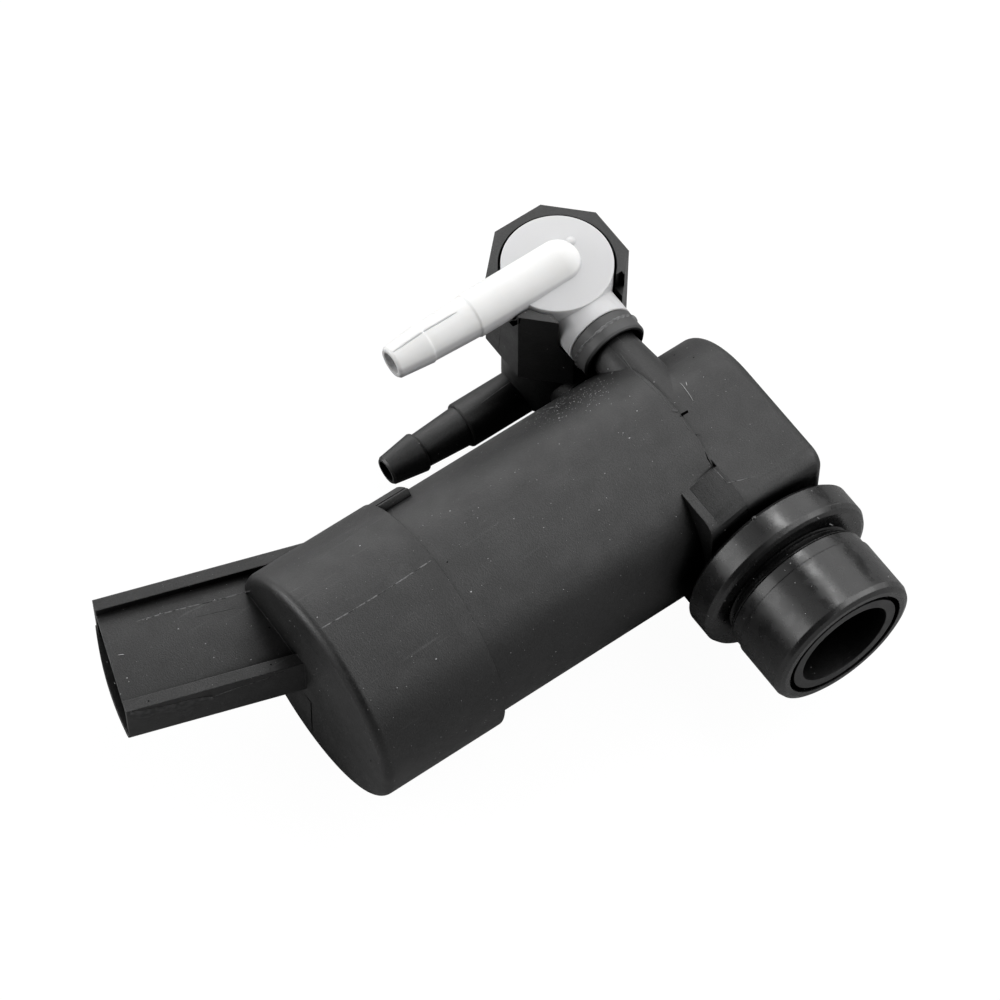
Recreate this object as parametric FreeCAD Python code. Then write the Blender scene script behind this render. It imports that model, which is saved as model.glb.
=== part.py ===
import FreeCAD, Part
import math
import os

# Windshield washer pump with two outlets.
# The motor lies along Y, the tank port points along +X, and Z runs from the lower outlet to the upper one.
# The origin is on the axis of the tank port, at the middle of the grommet's sealing barrel. Millimetres.

V = FreeCAD.Vector
X = V(1, 0, 0)
Y = V(0, 1, 0)
Z = V(0, 0, 1)
ORIGIN = V(0, 0, 0)

# Places of the main axes
motor_x = -34.0              # motor axis, from the middle of the sealing barrel
valve_reach = 30.9           # valve axis to motor axis
outlet_y = -1.4              # outlets and valve, along the motor
duct_z = 9.5                 # outlet ducts, either side of the motor axis
upper_nozzle_z = 15.1
lower_nozzle_z = -14.65
fit_gap = 0.03               # between pieces that are pressed or moulded together
run_gap = 0.04               # between the shaft and its bearings

# Motor barrel
barrel_r = 17.4
barrel_wall = 1.6
barrel_rear_y = -62.8
parting_y = -2.9             # where the barrel ends and the smaller pump head begins
bulkhead_front_y = -4.0
bulkhead_rear_y = -9.6

# Pump head
head_r = 14.8
head_end_y = 10.9
block_rear_y = -9.4
block_half = 14.2
block_draft = 0.5
inlet_face_x = -15.5
head_corner = 3.0
head_edge = 1.6
chamber_r = 12.0
eye_seat_y = 1.6
eye_plate_t = 1.4
seat_step = 0.5
cover_y = 8.9
cover_seat_r = 13.2

# Outlet ducts
duct_root_r = 5.3
duct_tip_r = 3.9
duct_neck = 16.0             # motor axis to the end of the cone
duct_spigot_r = 3.6
duct_end = 24.2              # motor axis to the tip of the spigot
duct_bore_r = 2.4
duct_step = 0.12             # mould mismatch at the parting plane

# Tank port
spigot_r = 9.2
spigot_bore_r = 7.6
inner_bore_r = 6.9           # the bore is narrower inside the block
bore_step_x = -14.9
port_end_x = 4.75
inlet_floor = 13.3           # motor axis to the blind end of the inlet bore
window_half = 4.5
window_depth = 4.0           # how far the window reaches into the space in front of the eye plate

# Grommet
flange_r = 14.5
flange_back_x = -14.2
flange_t = 5.4
panel_r = 10.4               # floor of the groove that takes the tank wall
panel_groove = 2.0
bead_r = 11.7
barrel_port_r = 11.95
barrel_start_x = -4.7
lip_r = 10.0
lip_depth = 2.0

# End cap
cap_step = 1.3               # how far the cap stands proud of the barrel
cap_r = barrel_r + cap_step
cap_rear_y = -66.8
seam_y = -46.2
cap_wall = 2.0
cap_edge = 1.4
lug_from = 45.0              # the key lug's span round the motor, in degrees from the top
lug_to = 60.0
lug_top_r = cap_r - 0.15
lug_length = 5.4             # past the seam
lug_root = 1.0               # under the cap's rim
lug_groove_at = 47.5
lug_groove = 0.45
lug_groove_depth = 0.5

# Connector shroud, turned from the motor axis towards the outlets
shroud_angle = 18.0
shroud_mid = -11.2           # middle of the shroud, measured square to its own axis
shroud_width = 19.1
shroud_length = 28.0
shroud_root = -13.0
shroud_low = -4.3
shroud_high = 3.2
shroud_wall = 1.3
shroud_floor = 10.5
shroud_corner = 1.3
crown_height = 0.6
rail_width = 1.9
rail_height = 1.4
lip_reach = 0.15             # the lower lip of the mouth, past the upper edge
lip_bulge = 0.75             # how far the lip bows out in its middle

# Valve cup and valve cap
cup_flats = 20.25
cup_top_z = 14.8
cup_bottom_z = -1.9
cup_body_r = 8.35
recess_gap = 0.4
disc_r = 8.45
disc_dome = 0.4
valve_end_z = 15.6           # outer faces of the two halves
ledge_z = 2.4
diaphragm_t = 1.2
valve_chamber_r = 5.9
valve_wall = 1.8
cup_end_z = -15.1
socket_r = 5.5
socket_bore_r = 4.4
socket_end = 11.0            # valve axis to the end of the upper socket tube
lower_socket_end = 9.1       # the same for the lower one
slot_gap = 0.3

# Hose nozzles, measured from the valve axis; radii at the root, neck, waist, barb and tip
upper_nozzle_r = (3.57, 3.4, 3.05, 3.17, 2.6)
lower_nozzle_r = (3.74, 3.28, 2.8, 3.25, 2.4)
nozzle_shoulder = 16.0
barb_back = 23.9
nozzle_tip = 30.0
nozzle_bore_r = 1.75
riser_r = 1.65               # from the valve chamber up to the nozzle's bore
lower_nozzle_more = 1.7      # the lower nozzle stands this much further out

# Rubber collars on the outlet ducts
collar_length = 3.8
collar_mouth_r = 4.75
collar_neck_r = 4.2
collar_sleeve = 4.3
lower_collar_start = 10.6    # valve axis to the lower collar's flange
collar_clear = 0.3           # from the motor barrel

# Motor
can_t = 0.8
can_front_y = -9.7
can_rear_y = -60.4
magnet_t = 2.9
magnet_y = (-50.0, -21.0)
magnet_span = 128.0
core_r = 11.3
core_y = (-47.0, -24.0)
pole_count = 5
pole_neck = 3.0
pole_shoe = 1.6
winding_over = 3.0
shaft_r = 1.15
shaft_rear_y = -63.6
shaft_front_y = 0.6
bearing_r = 4.0
bearing_t = 4.0
commutator_r = 3.6
commutator_y = (-57.6, -53.6)
segment_slot = 0.5
brush_size = 3.0
arm_t = 0.4
arm_width = 3.4
plate_t = 2.0
plate_y = can_rear_y
boss_front = 2.6             # front face of the rear bearing's boss, from the plate's rear face
boss_rear = 1.0
boss_wall = 1.4
seal_r = 4.5
seal_t = 2.6
blade_width = 2.8
blade_t = 0.8
blade_gap = shroud_width * 0.23
blade_tip = 22.5
tail_width = 1.2             # the narrow inner end of a blade
tail_shift = 0.9
blade_root = shroud_floor - 2.0

# Impeller
impeller_r = 10.7
impeller_back_y = -3.3
impeller_disc_t = 1.0
impeller_hub_r = 2.7
vane_height = 3.2
vane_t = 0.9
vane_count = 6
eye_r = 4.2

MOTOR = V(motor_x, 0, 0)
valve_x = motor_x - valve_reach
valve_wall_r = disc_r + recess_gap
can_r = barrel_r - barrel_wall - fit_gap


def revolved(profile, base, direction):
    """Turns a closed outline of (distance along the axis, radius) points round the axis."""
    points = [V(radius, 0, along) for along, radius in profile]
    face = Part.Face(Part.makePolygon(points + points[:1]))
    solid = face.revolve(ORIGIN, Z, 360)
    solid.Placement = FreeCAD.Placement(base, FreeCAD.Rotation(Z, direction))
    return solid


def rod(radius, start, end):
    return Part.makeCylinder(radius, (end - start).Length, start, end - start)


def block(low, high):
    size = high - low
    return Part.makeBox(size.x, size.y, size.z, low)


def outline(points, depth):
    return Part.Face(Part.makePolygon(points + points[:1])).extrude(depth)


def rounded(solid, radius, wanted):
    """Rounds the edges for which wanted(edge) is true."""
    edges = [edge for edge in solid.Edges if wanted(edge)]
    return solid.makeFillet(radius, edges)


def on_plane(edge, axis, value):
    box = edge.BoundBox
    low, high = (getattr(box, axis + "Min"), getattr(box, axis + "Max"))
    return abs(low - value) < 0.01 and abs(high - value) < 0.01


def along_motor(radius, start_y, end_y):
    return rod(radius, V(motor_x, start_y, 0), V(motor_x, end_y, 0))


def ring_on_motor(outer, inner, start_y, end_y):
    return along_motor(outer, start_y, end_y).cut(along_motor(inner, start_y, end_y))


def turned_about_motor(solid, angle):
    turned = solid.copy()
    turned.rotate(MOTOR, Y, angle)
    return turned


def head_shell():
    """Round towards the outlets, with flat walls that run on to the inlet face."""
    round_side = along_motor(head_r, parting_y, head_end_y)
    square_side = block(V(motor_x, parting_y, -head_r), V(inlet_face_x, head_end_y, head_r))
    square_side = rounded(square_side, head_corner,
                          lambda edge: on_plane(edge, "X", inlet_face_x) and edge.BoundBox.YLength > 1)
    head = round_side.fuse(square_side).removeSplitter()
    return rounded(head, head_edge, lambda edge: on_plane(edge, "Y", head_end_y))


def inlet_block():
    """The lower part of the block, with draft from the parting plane."""
    def section(y, half):
        points = [V(motor_x, y, -half), V(inlet_face_x, y, -half), V(inlet_face_x, y, half),
                  V(motor_x, y, half)]
        return Part.makePolygon(points + points[:1])
    sections = [section(block_rear_y, block_half - block_draft), section(parting_y, block_half)]
    solid = Part.makeLoft(sections, True)
    return rounded(solid, head_corner - block_draft,
                   lambda edge: edge.BoundBox.XMin > inlet_face_x - 0.1 and edge.BoundBox.YLength > 1)


def outlet_duct(side):
    """A tapered duct with its spigot; behind the parting plane it is a little larger."""
    centre = V(motor_x, outlet_y, side * duct_z)
    duct = revolved([(0, 0), (0, duct_root_r), (duct_neck, duct_tip_r), (duct_neck + 1.2, duct_tip_r),
                     (duct_neck + 1.8, duct_spigot_r), (duct_end - 1.0, duct_spigot_r),
                     (duct_end, duct_spigot_r - 0.6), (duct_end, 0)], centre, -X)
    larger = revolved([(0, 0), (0, duct_root_r + duct_step), (duct_neck, duct_tip_r + duct_step),
                       (duct_neck, 0)], centre, -X)
    reach = duct_root_r + 1
    rear = block(centre - V(duct_end, reach, reach), V(motor_x, parting_y, centre.z + reach))
    return duct.fuse(larger.common(rear))


def motor_housing():
    body = along_motor(barrel_r, barrel_rear_y, parting_y)
    body = body.fuse([head_shell(), inlet_block(), outlet_duct(1), outlet_duct(-1)])
    body = body.fuse(rod(spigot_r, V(inlet_face_x - 1, 0, 0), V(port_end_x - 0.1, 0, 0)))
    eye_end = eye_seat_y + eye_plate_t
    cuts = [along_motor(barrel_r - barrel_wall, barrel_rear_y, bulkhead_rear_y),
            along_motor(chamber_r, bulkhead_front_y, eye_seat_y),
            along_motor(chamber_r + seat_step, eye_seat_y, cover_y),
            along_motor(cover_seat_r, cover_y, head_end_y),
            along_motor(shaft_r + run_gap * 3, bulkhead_rear_y, bulkhead_front_y),
            along_motor(seal_r, bulkhead_front_y - seal_t, bulkhead_front_y),
            along_motor(bearing_r + 1.0, bulkhead_rear_y, bulkhead_rear_y + 1.8),
            rod(spigot_bore_r, V(bore_step_x, 0, 0), V(port_end_x, 0, 0)),
            rod(inner_bore_r, V(motor_x + inlet_floor, 0, 0), V(bore_step_x, 0, 0)),
            block(V(motor_x + chamber_r - window_depth, eye_end + 0.3, -window_half),
                  V(motor_x + inlet_floor + 0.5, inner_bore_r - 0.5, window_half))]
    for side in (1, -1):
        cuts.append(rod(duct_bore_r, V(motor_x - duct_end, outlet_y, side * duct_z),
                        V(motor_x - 3.5, outlet_y, side * duct_z)))
    for cutter in cuts:
        body = body.cut(cutter)
    return body.removeSplitter()


def tank_grommet():
    groove_x = flange_back_x + flange_t
    bead_x = groove_x + panel_groove
    inner = spigot_r + fit_gap
    profile = [(flange_back_x, inner), (flange_back_x, flange_r - 0.6), (flange_back_x + 0.6, flange_r),
               (groove_x - 1.0, flange_r), (groove_x - 0.3, flange_r - 0.4), (groove_x, flange_r - 1.1),
               (groove_x + 0.1, panel_r + 0.4), (groove_x + 0.5, panel_r), (bead_x - 0.9, panel_r),
               (bead_x - 0.6, bead_r - 0.3), (bead_x - 0.1, bead_r), (bead_x, bead_r - 0.25),
               (bead_x + 0.1, bead_r), (barrel_start_x - 0.1, barrel_port_r - 0.25),
               (barrel_start_x, barrel_port_r), (port_end_x - 1.1, barrel_port_r),
               (port_end_x - 0.35, barrel_port_r - 0.3), (port_end_x, barrel_port_r - 1.1),
               (port_end_x, lip_r), (port_end_x - lip_depth, lip_r), (port_end_x - lip_depth, inner)]
    return revolved(profile, ORIGIN, X)


def shroud_point(along, across, z):
    """A point in the connector's own directions: along its axis, across its width, and up."""
    angle = math.radians(shroud_angle)
    x = motor_x - along * math.sin(angle) + across * math.cos(angle)
    y = cap_rear_y + 1.0 - along * math.cos(angle) - across * math.sin(angle)
    return V(x, y, z)


def shroud_bar(section, start, end):
    """A bar along the connector from a section of (across, up) points."""
    points = [shroud_point(start, across, z) for across, z in section]
    return outline(points, shroud_point(end, 0, 0) - shroud_point(start, 0, 0))


def shroud_box(left, right, low, high, start, end):
    return shroud_bar([(left, low), (right, low), (right, high), (left, high)], start, end)


def is_lengthwise(edge, length):
    return abs(edge.Length - length) < 0.01


def shroud_body(end):
    """The shroud's outside up to the given end, with rounded lower edges."""
    left = shroud_mid - shroud_width / 2
    right = shroud_mid + shroud_width / 2
    body = shroud_box(left, right, shroud_low, shroud_high, shroud_root, end)
    return rounded(body, shroud_corner, lambda edge: is_lengthwise(edge, end - shroud_root)
                   and edge.BoundBox.ZMax < shroud_low + 0.01)


def shroud_lip():
    """The lower wall, which ends in a lip with a bowed outline."""
    end = shroud_length + lip_reach + lip_bulge
    half = shroud_width / 2
    lip_r = (half ** 2 + lip_bulge ** 2) / (2 * lip_bulge)
    centre = shroud_point(end - lip_r, shroud_mid, shroud_low)
    return shroud_body(end).common(rod(lip_r, centre, centre + Z * shroud_wall))


def connector_shroud():
    left = shroud_mid - shroud_width / 2
    right = shroud_mid + shroud_width / 2
    length = shroud_length - shroud_root
    shell = shroud_body(shroud_length).fuse(shroud_lip())
    for start, end in ((left, left + rail_width), (right - rail_width, right)):
        shell = shell.fuse(shroud_box(start, end, shroud_high - 1, shroud_high + rail_height,
                                      shroud_root, shroud_length))
    crown_left = left + rail_width
    crown_right = right - rail_width
    half = (crown_right - crown_left) / 2
    crown_r = (half ** 2 + crown_height ** 2) / (2 * crown_height)
    centre_z = shroud_high + crown_height - crown_r
    crown = Part.makeCylinder(crown_r, length, shroud_point(shroud_root, shroud_mid, centre_z),
                              shroud_point(1, 0, 0) - shroud_point(0, 0, 0))
    crown = crown.common(shroud_box(crown_left, crown_right, shroud_high - 0.5, shroud_high + 1,
                                    shroud_root, shroud_length))
    return shell.fuse(crown)


def shroud_cavity():
    left = shroud_mid - shroud_width / 2 + shroud_wall
    right = shroud_mid + shroud_width / 2 - shroud_wall
    cavity = shroud_box(left, right, shroud_low + shroud_wall, shroud_high - shroud_wall * 0.7,
                        shroud_floor, shroud_length + 1)
    length = shroud_length + 1 - shroud_floor
    return cavity.makeFillet(0.6, [edge for edge in cavity.Edges if is_lengthwise(edge, length)])


def terminal_bar(side, inner, outer, extra):
    """A blade in the connector with the narrower tail that leads inside."""
    level = (shroud_low + shroud_high) / 2
    low = level - blade_t / 2 - extra
    high = level + blade_t / 2 + extra
    blade_middle = shroud_mid + side * blade_gap
    blade_half = blade_width / 2 + extra
    tail_middle = blade_middle - side * tail_shift
    tail_half = tail_width / 2 + extra
    blade = shroud_box(blade_middle - blade_half, blade_middle + blade_half, low, high,
                       blade_root - extra, outer)
    tail = shroud_box(tail_middle - tail_half, tail_middle + tail_half, low, high, inner, blade_root)
    return blade.fuse(tail).removeSplitter()


def key_lug():
    """The tab on the cap's rim that lies on the barrel, with a groove along it."""
    start = seam_y - lug_root
    end = seam_y + lug_length
    lug = ring_on_motor(lug_top_r, barrel_r, start, end)
    far = 3 * lug_top_r
    wedge = [V(motor_x, start, 0)]
    for angle in (math.radians(-lug_from), math.radians(-lug_to)):
        wedge.append(V(motor_x + far * math.sin(angle), start, far * math.cos(angle)))
    lug = lug.common(outline(wedge, Y * (end - start)))
    groove = block(V(motor_x - lug_groove / 2, seam_y, lug_top_r - lug_groove_depth),
                   V(motor_x + lug_groove / 2, end + 1, lug_top_r + 1))
    return lug.cut(turned_about_motor(groove, -lug_groove_at))


def end_cap():
    shell = along_motor(cap_r, cap_rear_y, seam_y)
    shell = rounded(shell, cap_edge, lambda edge: on_plane(edge, "Y", cap_rear_y))
    shell = shell.fuse(connector_shroud())
    shell = shell.fuse(key_lug())
    shell = shell.cut(along_motor(barrel_r + fit_gap, cap_rear_y + cap_wall, seam_y + lug_length + 1))
    shell = shell.fuse(ring_on_motor(bearing_r + 1.5, shaft_r + 0.6,
                                     cap_rear_y + cap_wall - 0.5, shaft_rear_y + 0.8))
    shell = shell.cut(shroud_cavity())
    for side in (1, -1):
        shell = shell.cut(terminal_bar(side, shroud_root, shroud_length, fit_gap))
    return shell.removeSplitter()


def cap_seal():
    return ring_on_motor(barrel_r - fit_gap, barrel_r - barrel_wall, cap_rear_y + cap_wall, barrel_rear_y)


def valve_point(x=0.0, y=0.0, z=0.0):
    return V(valve_x + x, outlet_y + y, z)


def octagon(flats, low, high):
    radius = flats / 2 / math.cos(math.pi / 8)
    points = [valve_point(radius * math.cos(math.pi / 8 + k * math.pi / 4),
                          radius * math.sin(math.pi / 8 + k * math.pi / 4), low) for k in range(8)]
    return outline(points, Z * (high - low))


def nozzle_level(side):
    return upper_nozzle_z if side > 0 else lower_nozzle_z


def hose_nozzle(side):
    """The barbed nozzle with its ball-ended elbow, along -Y from the valve axis."""
    root, neck, waist, barb, mouth = upper_nozzle_r if side > 0 else lower_nozzle_r
    more = 0 if side > 0 else lower_nozzle_more
    shoulder = nozzle_shoulder + more
    back = barb_back + more
    tip = nozzle_tip + more
    profile = [(0, 0), (0, root), (shoulder - 0.2, root), (shoulder, root - 0.1), (shoulder + 0.1, neck),
               (back - 0.2, waist), (back, barb - 0.12), (back + 0.3, barb), (tip - 0.35, mouth),
               (tip, mouth - 0.3), (tip, 0)]
    corner = valve_point(0, 0, nozzle_level(side))
    elbow = Part.makeSphere(root, corner, Y, 0, 90, 360)
    return revolved(profile, corner, -Y).fuse(elbow)


def nozzle_passage(side, inner_z):
    corner = valve_point(0, 0, nozzle_level(side))
    along = rod(nozzle_bore_r, corner + Y * nozzle_bore_r, corner - Y * (nozzle_tip + lower_nozzle_more + 1))
    return along.fuse(rod(riser_r, corner, valve_point(0, 0, inner_z)))


def socket_tube(radius, level, start, end):
    return rod(radius, valve_point(start, 0, level), valve_point(end, 0, level))


def dome(radius, top, height, base):
    """A disc with a slightly domed face; a negative height gives the mirrored, lower disc."""
    side = 1 if height > 0 else -1
    curve_r = (radius ** 2 + height ** 2) / (2 * abs(height))
    disc = rod(radius, valve_point(0, 0, base), valve_point(0, 0, top))
    ball = Part.makeSphere(curve_r, valve_point(0, 0, top - side * curve_r))
    return disc.common(ball)


def valve_cap():
    base = ledge_z + diaphragm_t
    body = dome(disc_r, valve_end_z, disc_dome, base)
    body = body.fuse([socket_tube(socket_r, duct_z, 0, socket_end), hose_nozzle(1)])
    body = body.cut(rod(valve_chamber_r, valve_point(0, 0, base),
                        valve_point(0, 0, valve_end_z - valve_wall)))
    body = body.cut(socket_tube(socket_bore_r, duct_z, 0, socket_end))
    return body.cut(nozzle_passage(1, base)).removeSplitter()


def valve_cup():
    body = octagon(cup_flats, cup_bottom_z, cup_top_z)
    lower = dome(cup_body_r, cup_end_z, -disc_dome, cup_bottom_z)
    body = body.fuse([lower, socket_tube(socket_r, -duct_z, 0, lower_socket_end), hose_nozzle(-1)])
    body = body.cut(rod(valve_wall_r, valve_point(0, 0, ledge_z), valve_point(0, 0, cup_top_z)))
    body = body.cut(rod(valve_chamber_r, valve_point(0, 0, cup_end_z + valve_wall),
                        valve_point(0, 0, ledge_z)))
    slot_r = socket_r + slot_gap
    body = body.cut(socket_tube(slot_r, duct_z, 0, cup_flats))
    body = body.cut(block(valve_point(0, -slot_r, duct_z), valve_point(cup_flats, slot_r, cup_top_z + 1)))
    body = body.cut(block(valve_point(disc_r - 2, -slot_r, duct_z + 2.2),
                          valve_point(cup_flats, slot_r + 1.3, cup_top_z + 1)))
    body = body.cut(rod(upper_nozzle_r[0] + slot_gap, valve_point(0, 0, upper_nozzle_z),
                        valve_point(0, -cup_flats, upper_nozzle_z)))
    body = body.cut(socket_tube(socket_bore_r, -duct_z, 0, lower_socket_end))
    return body.cut(nozzle_passage(-1, ledge_z)).removeSplitter()


def valve_diaphragm():
    rim = valve_wall_r - fit_gap
    low = ledge_z
    high = ledge_z + diaphragm_t
    middle = (low + high) / 2
    profile = [(low, valve_chamber_r - 0.4), (low, rim), (high, rim), (high, valve_chamber_r - 0.4),
               (middle + 0.3, valve_chamber_r - 0.9), (middle + 0.3, 3.2), (high + 0.2, 2.6), (high + 0.2, 0),
               (low - 0.2, 0), (low - 0.2, 2.6), (middle - 0.3, 3.2), (middle - 0.3, valve_chamber_r - 0.9)]
    return revolved(profile, valve_point(), Z)


def outlet_collar(side):
    """The rubber collar between a duct and its socket, cut back beside the motor barrel."""
    mouth = socket_end + collar_length
    start = socket_end if side > 0 else lower_collar_start
    tube_end = socket_end if side > 0 else lower_socket_end
    sleeve_r = socket_bore_r - fit_gap
    profile = [(tube_end - collar_sleeve, sleeve_r), (tube_end, sleeve_r)]
    if tube_end < start:
        profile += [(tube_end, collar_neck_r), (start, collar_neck_r)]
    profile += [(start, socket_r - 0.3), (start + 0.3, socket_r - 0.05), (mouth - 0.3, socket_r - 0.05),
                (mouth, socket_r - 0.35), (mouth, collar_mouth_r), (mouth - 1.6, duct_tip_r + 0.15),
                (start + 0.4, duct_tip_r + 0.1), (start - 0.6, duct_spigot_r + fit_gap),
                (tube_end - collar_sleeve, duct_spigot_r + fit_gap)]
    collar = revolved(profile, valve_point(0, 0, side * duct_z), X)
    return collar.cut(along_motor(barrel_r + collar_clear, block_rear_y, parting_y + collar_clear))


def motor_can():
    body = along_motor(can_r, can_rear_y, can_front_y)
    body = rounded(body, 1.2, lambda edge: on_plane(edge, "Y", can_front_y))
    body = body.cut(along_motor(can_r - can_t, can_rear_y, can_front_y - can_t))
    nose_front = bulkhead_rear_y + 1.7
    body = body.fuse(along_motor(bearing_r + can_t, can_front_y - bearing_t, nose_front))
    body = body.cut(along_motor(bearing_r, can_front_y - bearing_t - 1, nose_front - can_t))
    return body.cut(along_motor(shaft_r + 0.5, can_front_y - bearing_t, nose_front))


def bush(front_y):
    solid = ring_on_motor(bearing_r - fit_gap, shaft_r + run_gap, front_y - bearing_t, front_y)
    return rounded(solid, 0.3, lambda edge: edge.BoundBox.XLength > 2 * bearing_r - 1)


def brush_plate():
    plate = along_motor(can_r - can_t - fit_gap, plate_y, plate_y + plate_t)
    plate = plate.fuse(along_motor(bearing_r + boss_wall, plate_y - boss_rear, plate_y + boss_front))
    plate = plate.cut(along_motor(bearing_r, plate_y - boss_rear, plate_y + boss_front))
    for side in (1, -1):
        plate = plate.cut(terminal_bar(side, shroud_root, shroud_length, fit_gap * 3))
    for side in (1, -1):
        foot = arm_place(side)
        slot = block(V(foot - arm_t / 2 - fit_gap, plate_y - 1, -arm_width / 2 - fit_gap),
                     V(foot + arm_t / 2 + fit_gap, plate_y + plate_t + 3, arm_width / 2 + fit_gap))
        plate = plate.cut(slot)
    return plate


def arm_place(side):
    """Where a leaf arm stands in the brush plate."""
    return motor_x + side * (commutator_r + brush_size + arm_t / 2 + 0.8)


def brush(side):
    start = motor_x + side * (commutator_r + run_gap)
    end = motor_x + side * (commutator_r + brush_size)
    middle_y = sum(commutator_y) / 2
    solid = block(V(min(start, end), middle_y - brush_size / 2, -brush_size / 2),
                  V(max(start, end), middle_y + brush_size / 2, brush_size / 2))
    return solid.cut(along_motor(commutator_r + run_gap, commutator_y[0] - 1, commutator_y[1] + 1))


def brush_arm(side):
    """A leaf spring that stands in the brush plate and bears on the back of its brush."""
    foot = arm_place(side)
    tip_y = sum(commutator_y) / 2 + brush_size / 2
    leaf = block(V(foot - arm_t / 2, plate_y, -arm_width / 2), V(foot + arm_t / 2, tip_y, arm_width / 2))
    back = motor_x + side * (commutator_r + brush_size)
    inner = foot - side * arm_t / 2
    pad = block(V(min(back, inner), tip_y - 2.2, -brush_size / 2),
                V(max(back, inner), tip_y - 0.8, brush_size / 2))
    return leaf.fuse(pad).removeSplitter()


def magnet(side):
    outer = can_r - can_t - fit_gap
    ring = ring_on_motor(outer, outer - magnet_t, *magnet_y)
    half = math.radians(magnet_span / 2)
    far = 4 * outer
    fan = [V(motor_x, magnet_y[0], 0)]
    for angle in (-half, 0, half):
        fan.append(V(motor_x + far * math.sin(angle), magnet_y[0], side * far * math.cos(angle)))
    return ring.common(outline(fan, Y * (magnet_y[1] - magnet_y[0])))


def armature_core():
    hub_r = core_r * 0.42
    body = along_motor(hub_r, *core_y)
    shoe = ring_on_motor(core_r, core_r - pole_shoe, *core_y)
    body = body.fuse(shoe)
    for k in range(pole_count):
        pole = block(V(motor_x - pole_neck / 2, core_y[0], 0),
                     V(motor_x + pole_neck / 2, core_y[1], core_r - 0.5))
        body = body.fuse(turned_about_motor(pole, 360 / pole_count * k))
    for k in range(pole_count):
        slot = block(V(motor_x - 0.9, core_y[0], core_r - 3), V(motor_x + 0.9, core_y[1], core_r + 1))
        body = body.cut(turned_about_motor(slot, 360 / pole_count * (k + 0.5)))
    return body.cut(along_motor(shaft_r, *core_y)).removeSplitter()


def armature_windings():
    """Copper that fills the space between the poles and bulges past both ends of the core."""
    outer = core_r - pole_shoe - 0.4
    rear, front = core_y
    body = ring_on_motor(outer, core_r * 0.42 + 0.05, rear - winding_over, front + winding_over)
    body = rounded(body, 1.4, lambda edge: edge.BoundBox.XLength > 2 * outer - 0.1
                   and edge.BoundBox.YLength < 0.01)
    keep_out = along_motor(core_r * 0.42, rear, front)
    for k in range(pole_count):
        pole = block(V(motor_x - pole_neck / 2 - 0.05, rear - 0.05, 0),
                     V(motor_x + pole_neck / 2 + 0.05, front + 0.05, core_r))
        keep_out = keep_out.fuse(turned_about_motor(pole, 360 / pole_count * k))
    return body.cut(keep_out)


def commutator():
    rear, front = commutator_y
    body = ring_on_motor(commutator_r, shaft_r, rear, front)
    body = body.fuse(ring_on_motor(commutator_r + 1.2, shaft_r, front, front + 0.8))
    for k in range(pole_count):
        slot = block(V(motor_x - segment_slot / 2, rear, commutator_r - 0.7),
                     V(motor_x + segment_slot / 2, front + 0.8, commutator_r + 2))
        body = body.cut(turned_about_motor(slot, 360 / pole_count * (k + 0.5)))
    return body


def shaft():
    body = along_motor(shaft_r, shaft_rear_y, shaft_front_y)
    return body.makeChamfer(0.2, [edge for edge in body.Edges if edge.BoundBox.YLength < 0.01])


def shaft_seal():
    return ring_on_motor(seal_r - fit_gap, shaft_r + run_gap,
                         bulkhead_front_y - seal_t, bulkhead_front_y - 0.1)


def impeller():
    """A disc with swept vanes on its inlet side, moulded round a hub on the shaft."""
    disc_front = impeller_back_y + impeller_disc_t
    vane_front = disc_front + vane_height
    body = along_motor(impeller_r, impeller_back_y, disc_front)
    body = body.fuse(along_motor(impeller_hub_r, impeller_back_y, vane_front - 0.6))
    sweep_r = impeller_r * 0.9
    for k in range(vane_count):
        bend = ring_on_motor(sweep_r + vane_t / 2, sweep_r - vane_t / 2, disc_front - 0.2, vane_front)
        bend.translate(V(sweep_r, 0, 0))
        quarter = block(V(motor_x - 1, disc_front - 0.3, 0),
                        V(motor_x + 2 * impeller_r, vane_front, 2 * impeller_r))
        vane = bend.common(quarter).common(along_motor(impeller_r, disc_front - 0.3, vane_front))
        body = body.fuse(turned_about_motor(vane, 360 / vane_count * k))
    return body.cut(along_motor(shaft_r, impeller_back_y, shaft_front_y)).removeSplitter()


def eye_plate():
    solid = ring_on_motor(chamber_r + seat_step - fit_gap, eye_r, eye_seat_y, eye_seat_y + eye_plate_t)
    return rounded(solid, 0.4, lambda edge: abs(edge.BoundBox.XLength - 2 * eye_r) < 0.01)


def pump_cover():
    plate = along_motor(cover_seat_r - fit_gap, cover_y, head_end_y - 0.4)
    plate = rounded(plate, 0.4, lambda edge: on_plane(edge, "Y", head_end_y - 0.4))
    rim = ring_on_motor(chamber_r + seat_step - fit_gap, chamber_r - 1.2, cover_y - 1.5, cover_y)
    return plate.fuse(rim).removeSplitter()


def terminal(side):
    """It ends level with the front face of the brush plate."""
    across = shroud_mid + side * (blade_gap - tail_shift)
    inner = -(plate_y + plate_t - cap_rear_y - 1.0) / math.cos(math.radians(shroud_angle))
    inner -= across * math.tan(math.radians(shroud_angle))
    return terminal_bar(side, inner, blade_tip, 0)


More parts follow.
